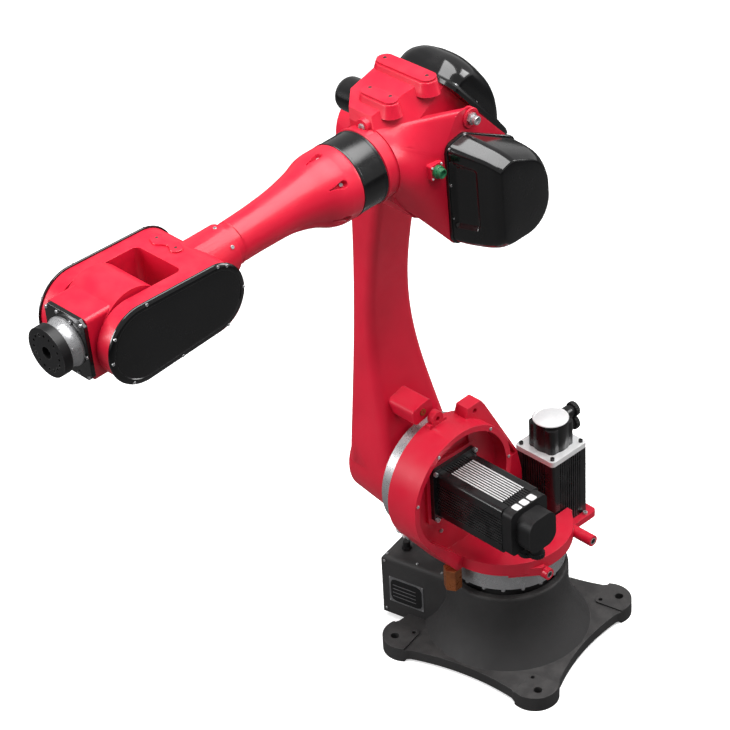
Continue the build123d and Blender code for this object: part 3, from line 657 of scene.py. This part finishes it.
def wall_and_end(outlines, heights, end_steps):
    """Rings of a wall, then its last outline drawn in to a share of its size at each height of the end."""
    middle = outlines[-1].mean(0)
    wall = [at_height(outline, height) for outline, height in zip(outlines, heights)]
    return wall + [at_height(middle + (outlines[-1] - middle) * share, height) for share, height in end_steps]


# %% Side cover of the elbow
def side_outline(front, back, top, slope_top, bottom, radius):
    """Outline of the side cover at one depth, typed in millimetres, running from its front foot upwards."""
    front_top = (front, top - 10)
    crest = (front * 0.45, top)
    corners = np.array([(front, bottom), front_top, crest, (back, slope_top), (back, bottom)], float)
    return rounded_ring(corners * mm, np.array(radius) * mm)


side_depths = np.array([108, 128, 160, 194, 214, 227]) * mm
side_sections = np.array([
    # corner radii: front foot, front top, top, back top, back foot
    side_outline(103, -104, 124, 40, -140, (24, 20, 30, 30, 24)),
    side_outline(98, -103, 121, 41, -140, (24, 18, 32, 34, 26)),
    side_outline(89, -102, 115, 43, -139, (26, 15, 32, 52, 42)),
    side_outline(79, -99, 108, 44, -136, (30, 14, 34, 76, 56)),
    side_outline(73, -92, 101, 45, -129, (32, 14, 36, 94, 66)),
    side_outline(67, -83, 94, 46, -120, (32, 16, 36, 100, 72)),
])
wall_depths = np.linspace(side_depths[0], side_depths[-1], 52)
wall = smooth_through(side_depths, side_sections, wall_depths)
flange_ring = side_outline(107.5, -107.5, 127.5, 43.5, -143.5, 26)
lip_ring = side_outline(106, -106, 126, 42, -142, 26)
rings = [at_height(flange_ring, 0.1001), at_height(flange_ring, 0.1068), at_height(lip_ring, side_depths[0])]
side_end = ((0.985, 0.2290), (0.955, 0.2304), (0.91, 0.2312), (0.55, 0.2326), (0.2, 0.2332))
rings = np.array(rings + wall_and_end(wall, wall_depths, side_end))
print("side cover rings:", rings.shape)


# %% Stepped panel on the side cover's front wall
def plateau(value, low, high, ramp):
    """1 between low and high, and a straight fall to 0 over a ramp outside them."""
    return np.clip(np.minimum(value - low, high - value) / ramp + 1, 0, 1)


# The front wall lies between the last point of the foot's arc and the first of the next one
foot_end, next_start = rings[:, arc_points - 1, None], rings[:, arc_points, None]
share = np.linspace(0, 1, 42)[1:-1]
front_wall = foot_end + (next_start - foot_end) * share[:, None]
panel_depth = 7 * mm
within = plateau(share, 0.17, 0.86, 0.05) * plateau(front_wall[..., 2], 0.118, 0.166, 0.009)
front_wall[..., 0] -= panel_depth * within
rings = np.concatenate([rings[:, :arc_points], front_wall, rings[:, arc_points:]], 1)[::-1]
skin("side_cover_shell", elbow, rings[..., [0, 2, 1]], "elbow", "black_gloss", ("side_cover",), sharp=28)
print("points on each ring now:", rings.shape[1])

# %% Rear cover of the elbow
rear_slope = math.radians(50.7)
rear_out = (-math.sin(rear_slope), 0, math.cos(rear_slope))
rear_seat = seat(elbow, (-0.0267, 0, 0.1321), rear_out, up=(0, 0, -1))
rear_aside = -14


def rear_outline(width, length, slide, radius):
    """Outline of the rear cover at one height, typed in millimetres. `slide` runs up the slope."""
    corners = square * (width / 2, length / 2) + (rear_aside, -slide)
    return rounded_ring(corners * mm, radius * mm, 16)


rear_lifts = np.array([0.2, 9, 14, 17, 40, 60, 74, 83]) * mm
rear_shapes = np.array([
    rear_outline(196, 300, -4, 48), rear_outline(196, 300, -4, 48), rear_outline(188, 290, -2, 46),
    rear_outline(180, 246, 14, 46), rear_outline(176, 218, 25, 50), rear_outline(162, 186, 32, 56),
    rear_outline(132, 144, 37, 50), rear_outline(88, 96, 40, 38),
])
rim_rows = 3
dome_lifts = np.linspace(rear_lifts[rim_rows], rear_lifts[-1], 22)
dome = smooth_through(rear_lifts[rim_rows:], rear_shapes[rim_rows:], dome_lifts)
rings = [at_height(outline, lift) for outline, lift in zip(rear_shapes[:rim_rows], rear_lifts)]
rings = np.array(rings + wall_and_end(dome, dome_lifts, ((0.75, 0.0857), (0.4, 0.0875), (0.12, 0.088))))
skin("rear_cover_shell", rear_seat, rings, "elbow", "black_gloss", ("rear_cover",), sharp=28)
rear_places = ((-88, -110), (-88, -20), (-88, 80), (88, -110), (88, -20), (88, 80), (-50, 138), (0, 138), (50, 138))
rear_spots = [rear_seat @ moved((rear_aside + x) * mm, y * mm, 14 * mm) for x, y in rear_places]
screws("rear_cover_screws", 4, 3, rear_spots, "elbow")
print("rear cover rings:", rings.shape)

# %% [markdown]
# ## Belt covers of the wrist
#
# A belt cover is a shallow pan. Its rim rolls over in a bright bevel, steps down in a fine groove and runs
# flat across the field. Its outline is two round ends and their common tangents, and each ring of the
# stack is that outline with smaller radii, because an inset outline of this kind keeps its centres.

# %% Belt covers
def stadium_ring(inset, around=64):
    """Ring of the belt outline: each end is an arc of radius (its own - inset), from tangent to tangent."""
    front_x, front_r, rear_x, rear_r, lowered = 0.019, 0.090, -0.173, 0.081, 0.014
    lean = math.asin((front_r - rear_r) / (front_x - rear_x))
    front_turn = np.linspace(-np.pi / 2 - lean, np.pi / 2 + lean, around)
    rear_turn = np.linspace(np.pi / 2 + lean, 3 * np.pi / 2 - lean, around)
    turn = np.concatenate([front_turn, rear_turn])
    middle = np.repeat((front_x, rear_x), around)
    radius = np.repeat((front_r, rear_r), around) - inset
    return np.stack([middle + radius * np.cos(turn), radius * np.sin(turn) - lowered], -1)


fork_side = 0.108
rim_profile = np.array([
    # inset, height over the fork's side
    (0.0006, 0.0001), (0.0, 0.0010), (0.0, 0.0036), (0.0010, 0.0050), (0.0030, 0.0064), (0.0065, 0.0080),
    (0.0105, 0.0089), (0.0135, 0.0090), (0.0142, 0.0083), (0.0150, 0.0078), (0.0160, 0.0083), (0.0175, 0.0084),
    (0.0450, 0.0086),
])
for cover, away in belt_covers:
    rings = np.array([
        np.insert(stadium_ring(inset), 1, away * (fork_side + height), axis=1) for inset, height in rim_profile
    ])
    if away > 0:
        rings = rings[::-1]
    skin(cover + "_cover_pan", wrist, rings, "forearm", "black_gloss", (cover + "_cover",), sharp=30)
print("belt cover rings:", rings.shape)

# %% [markdown]
# ## Forearm with bolt pockets
#
# The bell of the forearm is bolted on through pockets that the casting opens in its shoulder. On the real
# part each pocket is a drop shape, deep at the screw and running out up the slope. A Boolean with a
# cylinder would leave hard rims, so the pockets are a dent in the radius: the surface is
# R(along, turn) = profile(along) - depth x drop(along, turn), and the smooth fall of the drop rounds its rim.

# %% Forearm surface
tube_along = [0.3378, 0.3715, 0.3955, 0.4375, 0.4875, 0.5675, 0.6475]
tube_r = [0.087, 0.0875, 0.084, 0.069, 0.057, 0.050, 0.048]
tube_rise = [0, 0, 0.002, 0.006, 0.008, 0.005, 0.002]
around = 288
dent_start, dent_end = 0.362, 0.425
rows = np.concatenate([
    np.linspace(tube_along[0], dent_start, 10, endpoint=False),
    np.linspace(dent_start, dent_end, 46, endpoint=False), np.linspace(dent_end, 0.645, 44),
])
radius = smooth_through(tube_along, tube_r, rows)
radius[rows < tube_along[1]] = tube_r[1]
radius[0] = 0.0868
rise = smooth_through(tube_along, tube_rise, rows)

# Each pocket is half round behind its screw and narrows to a point ahead of it
pocket_x = 0.383
pocket_degrees = np.arange(30, 390, 60)
pocket_half_width, pocket_back, pocket_front, pocket_depth = 0.0085, 0.0095, 0.034, 0.012
apart = np.abs((full_turn(around)[None, :, None] - np.radians(pocket_degrees) + np.pi) % (2 * np.pi) - np.pi)
across = apart * radius[:, None, None]
run = rows[:, None, None] - pocket_x
half_width = pocket_half_width * np.where(run > 0, np.clip(1 - run / pocket_front, 0.02, 1), 1)
reach = np.sqrt((across / half_width) ** 2 + np.where(run > 0, run / pocket_front, run / pocket_back) ** 2)
drop = np.clip((1.08 - reach) / 0.34, 0, 1)
drop = (drop * drop * (3 - 2 * drop)).max(-1)
dent = radius[:, None] - pocket_depth * drop
bell = spun(dent, rows) + rise[:, None, None] * np.array((0, 1, 0))
sleeve = lathe([(0.0478, 0.6465), (0.0474, 0.650), (0.0470, 0.655), (0.0470, 0.6668)], around)
bell = np.roll(np.concatenate([bell, sleeve]), 1, -1)
skin("forearm_shell", forearm, bell, "forearm", "red_paint", ("forearm_tube",), sharp=40)
print("forearm rings:", bell.shape, "deepest pocket", round(float((pocket_depth * drop).max()) * 1000, 1), "mm")

# %% Screws in the pockets and on the collar
bell_screws = spokes(forearm, pocket_x, 0.0740, pocket_degrees, lean=0.35, rise=0.002)
screws("bell_screws", 4.0, 3.6, bell_screws, "forearm")
collar_screws = spokes(wrist, -0.286, 0.0555, np.arange(32, 392, 60))
screws("collar_screws", 4.2, 2.6, collar_screws, "forearm")
print("forearm screws:", len(bell_screws + collar_screws))

# %% [markdown]
# ## Bands, collars and small turned parts
#
# The rest of the small fittings are turned: lips on the roll band, collars round the plugs, the cap of the
# encoder, hole rims, the socket and the bead of the wrist ring. Each is a short profile of radius and height
# pairs, so all share one helper, and the profile is all that has to be read to know the part.

# %% Roll band, neck ring, encoder cap and plug collars
band_lip = lathe([
    (0.0866, 0.0), (0.0882, 0.0006), (0.0882, 0.0050), (0.0872, 0.0062), (0.0872, 0.0640), (0.0882, 0.0652),
    (0.0882, 0.0700), (0.0866, 0.0708),
], 128)
repeat("roll_band_sleeve", band_lip, [seat(elbow, (0.2661, 0, forearm_rise), ahead)], "elbow", "black_gloss")
neck_ring = lathe([(0.0868, 0.0), (0.0905, 0.0015), (0.0905, 0.0075), (0.0868, 0.0090)], 128)
repeat("neck_ring", neck_ring, [seat(elbow, (0.2570, 0, forearm_rise), ahead)], "elbow", "red_paint")

encoder_cap = lathe([
    (0.0455, -0.0060), (0.0462, 0.0), (0.0452, 0.0016), (0.0400, 0.0020), (0.0392, 0.0014), (0.0380, 0.0020),
    (0.0020, 0.0026),
], 64)
repeat("encoder_cap", encoder_cap, [seat(turret, (turn_motor_x, turn_motor_y, 0.587), upright)], "turret", "alloy")

# A plug collar is turned too, but where it is widest its radius steps up and down 18 times round
grip_r = 18.5 * mm
knurl = 1 + 0.035 * np.sign(np.cos(18 * full_turn(72)))
plug_profile = mm * np.array([
    (13, -6), (13, 0), (19, 1), (19.5, 2.5), (19.5, 12), (18.5, 13), (14, 13.5), (13, 17), (12, 18), (3, 18),
])
plug_r = plug_profile[:, :1]
plug_rings = spun(plug_r * np.where(plug_r > grip_r, knurl, 1.0), plug_profile[:, 1])
turn_plug_x = -0.2435
plug_places = [seat(turret, (turn_plug_x, turn_motor_y, height), (-1, 0, 0)) for height in (0.528, 0.568)]
plug_places += [seat(shoulder, (0, y, z), (0, 0, -1)) for y, z in ((0.218, -0.080), (0.253, -0.066))]
repeat("plug_collars", plug_rings, plug_places, "turret", "black_plastic")
print("plug collar points:", plug_rings.shape)

# %% Drilled holes
hole_rim = lathe([(1.0, -0.0004), (1.0, 0.0003), (0.86, 0.0007), (0.78, 0.0004), (0.74, -0.0001)], 32)


def open_hole(name, radius, places, body, rim_slot):
    """A bright rim, and inside it a dark disc as painted shade for the hole's depth: the look of a drilled hole."""
    rim = hole_rim.copy()
    rim[..., :2] *= radius
    repeat(name + "_rims", rim, places, body, rim_slot)
    # A dark disc inside the rim is painted shade for the depth of the hole.
    shade_disc = lathe([(0.78 * radius, -0.0004), (0.78 * radius, 0.00035), (0.3 * radius, 0.0004)], 24)
    repeat(name + "_shade_discs", shade_disc, places, body, "black_plastic")


rear_pad_top = 264 * mm
front_pad_top = 243 * mm
post_places = [seat(turret, (x, 0.186, z), side_out) for x, z in ((0.040, 0.303), (-0.122, 0.313))]
open_hole("post", 9 * mm, post_places, "turret", "steel")
pad_places = [seat(elbow, (85 * mm, y * mm, rear_pad_top), upright) for y in (-87, 42)]
pad_places += [seat(elbow, (172 * mm, y * mm, front_pad_top), upright) for y in (-48, 14)]
open_hole("pad", 5.5 * mm, pad_places, "elbow", "red_paint")
open_hole("stop_pin", 3 * mm, [seat(turret, (0.2075, -0.008, 0.275), ahead)], "turret", "plate_grey")
print("holes drilled:", len(post_places + pad_places) + 1)

# %% Elbow's plug and socket, and the wrist ring
plug_boss = lathe([
    (0.024, -0.012), (0.024, 0.002), (0.0225, 0.0035), (0.018, 0.0035), (0.0172, 0.0025), (0.004, 0.0025),
], 48)
repeat("plug_boss", plug_boss, [seat(elbow, (0.020, 0.100, 0.148), side_out)], "elbow", "red_paint")
plug_core = lathe([
    (0.0095, 0.0), (0.0105, 0.012), (0.0095, 0.0135), (0.0070, 0.0135), (0.0062, 0.0095), (0.0005, 0.0095),
], 32)
repeat("plug_core", plug_core, [seat(elbow, (0.020, 0.1095, 0.148), side_out)], "elbow", "steel")
socket_shell = lathe([
    (0.0150, -0.002), (0.0150, 0.008), (0.0140, 0.0092), (0.0122, 0.0092), (0.0118, 0.0180), (0.0106, 0.0192),
    (0.0086, 0.0192), (0.0080, 0.0150), (0.0010, 0.0150),
], 48)
repeat("socket_shell", socket_shell, [seat(elbow, socket_place, side_out)], "elbow", "socket_green")
ring_bead = lathe([
    (0.0545, 0.0), (0.0552, 0.0010), (0.0552, 0.0060), (0.0535, 0.0080), (0.0510, 0.0170), (0.0478, 0.0300),
    (0.0462, 0.0318), (0.0440, 0.0320),
], 96)
repeat("wrist_ring_bead", ring_bead, [seat(wrist, (0.1222, 0, 0), ahead)], "wrist", "steel")
ring_spots = spokes(wrist, 0.146, 0.0488, np.arange(15, 375, 60), lean=0.2)
screws("ring_screws", 2.8, 2, ring_spots, "wrist")
print("ring screws:", len(ring_spots))

# %% [markdown]
# ## Draft below the roof pads
#
# The two pads on the elbow's roof are machined flat, and the casting widens below them so that the pattern
# comes out of the sand. A Bevel on the whole casting could only round their edges. The flank is the pad's
# own slot outline, moved out along its normal as it goes down, which gives a slope of any shape.

# %% Flanks under the elbow's roof pads
flank_profile = (
    # drop below the pad's top, distance out from its outline
    (0.036, 0.0120), (0.022, 0.0070), (0.012, 0.0040), (0.0075, 0.0028), (0.0060, 0.0022), (0.0052, 0.0012),
    (0.0050, -0.001),
)


def pad_flank(name, x, y, half, width, top):
    """Draft below a roof pad: the slot outline moves out along its normal, but never towards the rear cover."""
    arc = np.linspace(-np.pi / 2, np.pi / 2, 24)
    upper_normal = np.stack([np.sin(arc[::-1]), np.cos(arc)], -1)
    upper = 0.5 * width * upper_normal + (0, half)
    outline = np.concatenate([upper, -upper])
    normal = np.concatenate([upper_normal, -upper_normal])
    grow = np.where(normal[:, :1] < 0, normal * (0, 1), normal)
    rings = np.array([at_height(outline + grow * out, -drop) for drop, out in flank_profile])[:, ::-1]
    skin(name, elbow @ moved(x, y, top), rings, "elbow", "red_paint", sharp=50)


pad_flank("rear_pad_flank", 0.087, -0.020, half=0.063, width=0.042, top=rear_pad_top)
pad_flank("front_pad_flank", 0.181, -0.010, half=0.0316, width=0.036, top=front_pad_top)
print("flank rings:", len(flank_profile))

# %% [markdown]
# ## Raised pad on the fork
#
# The pad on the fork is two discs joined by a wavy waist, with a threaded hole in each disc. The outline
# is found from the distance to its middle line: a slot's half width, less a cosine that is greatest in
# the middle. The motor's fin crests, its tags and the bracket on the turret are low bars of the same kind.

# %% Fork pad
def slab(outline, heights, insets):
    """Rings of a low pad: each point is drawn in towards the pad's middle by an inset at each height."""
    reach = np.linalg.norm(outline, axis=1)[:, None]
    return np.array([at_height(outline * (1 - inset / reach), height) for height, inset in zip(heights, insets)])


pad_half, pad_r, pad_height = 0.030, 0.0155, 0.0052
share = np.linspace(-1, 1, 40)
waist = pad_r - 0.0065 * np.cos(np.pi * share / 2) ** 2
sway = 0.006 * np.sin(np.pi * share)
upper = np.stack([share * pad_half, sway + waist], -1)
lower = np.stack([share * pad_half, sway - waist], -1)
arc = np.linspace(-np.pi / 2, np.pi / 2, 16)[1:-1]
round_end = np.stack([pad_half + pad_r * np.cos(arc), pad_r * np.sin(arc)], -1)
pad_outline = np.concatenate([lower, round_end, upper[::-1], -round_end])
pad_rings = slab(pad_outline, (-0.006, 0.0042, pad_height), (0, 0, 0.0012))
pad_seat = seat(wrist, (-0.176, -0.028, 0.0625), upright)
repeat("fork_pad", pad_rings, [pad_seat], "forearm", "red_paint")
pad_holes = [pad_seat @ moved(x, 0, pad_height) for x in (-pad_half, pad_half)]
open_hole("fork_pad", 4.2 * mm, pad_holes, "forearm", "red_paint")
print("fork pad points:", pad_rings.shape)


# %% Motor crests, tags and hose bracket
def bar(length, width, height, edge=0.0006):
    """Rings of a low bar with chamfered edges, standing on the first two axes."""
    outline = rounded_ring(square * (length / 2, width / 2), min(length, width) * 0.2, 3)
    return slab(outline, (-0.001, height - edge, height), (0, 0, edge))


fin_pitch = 0.008
crest_places = [seat(shoulder, (x, 0.094, 0.065), upright, ahead) for x in (np.arange(-4, 6) - 0.5) * fin_pitch]
repeat("fin_crests", bar(0.168, 0.0031, 0.0012, 0.0004), crest_places, "turret", "alloy")
tag_places = [seat(shoulder, (x, 0.216, 0.063), upright) for x in (-0.024, 0.002, 0.028)]
repeat("bell_tags", bar(0.022, 0.020, 0.0012), tag_places, "turret", "alloy")
bracket_height = 0.012
bracket_seat = seat(turret, (0.262, -0.092, 0.428), (1, -0.2, -0.35))
repeat("hose_bracket", bar(0.050, 0.026, bracket_height, 0.001), [bracket_seat], "turret", "steel")
button = lathe([(0.0068, -0.001), (0.0068, 0.004), (0.0058, 0.0050), (0.0020, 0.0050)], 32)
button_places = [bracket_seat @ moved(x, 0, bracket_height) for x in (-0.012, 0.012)]
repeat("hose_buttons", button, button_places, "turret", "alloy")
print("fin crests:", len(crest_places), "tags:", len(tag_places))

# %% [markdown]
# ## Rating plate and box
#
# A rating plate is a thin sheet with a bright border round a dark field, held by four small pins. Four
# plain rules give the field its scale. The box behind it is a welded shell with a screwed lid.

# %% Rating plate and box screws
plate_seat = seat(room, (0.1165, -0.234, 0.102), ahead)
repeat("plate_field", bar(0.094, 0.070, 0.0006, 0.0002), [plate_seat], "base", "black_plastic")
rule_places = [plate_seat @ moved(-0.006, y, 0.0001) for y in (-0.020, -0.008, 0.004, 0.016)]
repeat("plate_rules", bar(0.070, 0.0022, 0.0010, 0.0002), rule_places, "base", "plate_grey")
pin = lathe([(0.0021, -0.0005), (0.0021, 0.0005), (0.0012, 0.0011)], 16)
pin_places = [plate_seat @ moved(x * 0.0495, y * 0.0375, 0) for x, y in square]
repeat("plate_pins", pin, pin_places, "base", "steel")
lid_x = 0.103
lid_spots = [seat(room, (x * lid_x, y, 0.203), upright) for x in (-1, 1) for y in (-0.296, -0.205, -0.130)]
lid_spots += [seat(room, (x * lid_x, -0.308, z), side_back) for x in (-1, 1) for z in (0.032, 0.110, 0.188)]
lid_spots += [seat(room, (x * 0.115, -0.298, z), (x, 0, 0)) for x in (-1, 1) for z in (0.032, 0.188)]
screws("box_screws", 3.4, 2.4, lid_spots, "base")
print("box screws:", len(lid_spots))

# %% [markdown]
# ## Studio and camera
#
# The photograph is a studio shot on white: a broad soft light overhead, two weaker ones at the sides, and a
# white surround that fills the shadows. Black covers would mirror a white floor and turn grey, so a studio
# hangs dark cloth where they look. A Light Path node does the same: the floor is pale to the camera and dark
# to reflections. The camera looks down from a long way off with a long lens, rolled by a few degrees. Its
# place is worked out from two angles and a distance about a point on the arm.

# %% Floor
floor_half = 12.0
floor_mesh = bpy.data.meshes.new("floor")
floor_mesh.from_pydata([(x, y, 0) for x, y in (square * floor_half).tolist()], [], [(0, 1, 2, 3)])
floor = added("floor", floor_mesh)
floor_finish = bpy.data.materials.new("pale_floor")
floor_finish.use_nodes = True
floor_tree = floor_finish.node_tree
floor_shader = floor_tree.nodes["Principled BSDF"]
floor_shader.inputs["Roughness"].default_value = 0.8
ray_kind = floor_tree.nodes.new("ShaderNodeLightPath")
lit, mirrored, seen = (0.40, 0.40, 0.40, 1), (0.10, 0.10, 0.10, 1), (0.95, 0.95, 0.95, 1)
bounced = blend_colours(floor_tree, ray_kind.outputs["Is Glossy Ray"], lit, mirrored)
floor_tint = blend_colours(floor_tree, ray_kind.outputs["Is Camera Ray"], bounced, seen)
link_up(floor_tree, floor_tint, floor_shader.inputs["Base Color"])
floor_shader.inputs["Specular IOR Level"].default_value = 0.0
floor_shader.inputs["Emission Color"].default_value = (1, 1, 1, 1)
lifted = work(floor_tree, "MULTIPLY", ray_kind.outputs["Is Camera Ray"], 0.42)
link_up(floor_tree, lifted, floor_shader.inputs["Emission Strength"])
floor_mesh.materials.append(floor_finish)
print("floor nodes:", len(floor_tree.nodes))

# %% Surround
world = bpy.data.worlds.new("studio")
scene.world = world
scene.view_settings.view_transform = "Standard"
world.use_nodes = True
world_tree = world.node_tree
background = world_tree.nodes["Background"]
background.inputs[0].default_value = (1, 1, 1, 1)
ray_kind = world_tree.nodes.new("ShaderNodeLightPath")
for_camera = work(world_tree, "MULTIPLY", ray_kind.outputs["Is Camera Ray"], 0.41)
for_mirrors = work(world_tree, "MULTIPLY", ray_kind.outputs["Is Glossy Ray"], 0.15)
strength = work(world_tree, "ADD", work(world_tree, "ADD", for_camera, 0.25), for_mirrors)
link_up(world_tree, strength, background.inputs[1])
print("surround nodes:", len(world_tree.nodes))


# %% Lights
def soft_light(name, place, aim, size, power):
    """Square area light at a place, turned to a point."""
    lamp = bpy.data.lights.new(name, "AREA")
    lamp.size = size
    lamp.energy = power
    holder = added(name, lamp)
    direction = Vector(aim) - Vector(place)
    holder.matrix_world = Matrix.LocRotScale(Vector(place), direction.to_track_quat("-Z", "Y"), None)


soft_light("overhead", (0.4, 0.4, 4.4), (0.3, -0.1, 0.9), size=3.4, power=275.0)
soft_light("front_left", (3.2, -2.2, 2.4), (0.3, 0, 0.9), size=1.6, power=105.0)
soft_light("back_right", (-2.4, 2.6, 2.8), (0.2, 0, 1.0), size=1.8, power=90.0)
print("lights:", len(bpy.data.lights))

# %% Camera
azimuth = math.radians(-145.09)
elevation = math.radians(34.18)
roll = math.radians(-3.41)
camera_distance = 6.39256
camera_aim = Vector(carry(turret, np.array((0.19185, -0.2792, 0.8))))
level = math.cos(elevation)
forward = Vector((math.cos(azimuth) * level, math.sin(azimuth) * level, -math.sin(elevation)))
level_right = forward.cross(Vector(upright)).normalized()
level_up = level_right.cross(forward)
right = level_right * math.cos(roll) + level_up * math.sin(roll)
above = level_up * math.cos(roll) - level_right * math.sin(roll)
stand = camera_aim - forward * camera_distance
camera_data = bpy.data.cameras.new("camera")
camera_data.sensor_width = 36.0
camera_data.lens = 128.69
camera_data.clip_end = 60.0
camera = added("camera", camera_data)
camera.matrix_world = Matrix.LocRotScale(stand, Matrix((right, above, -forward)).transposed(), None)
scene.camera = camera
print("camera stands at", [round(value, 3) for value in stand])
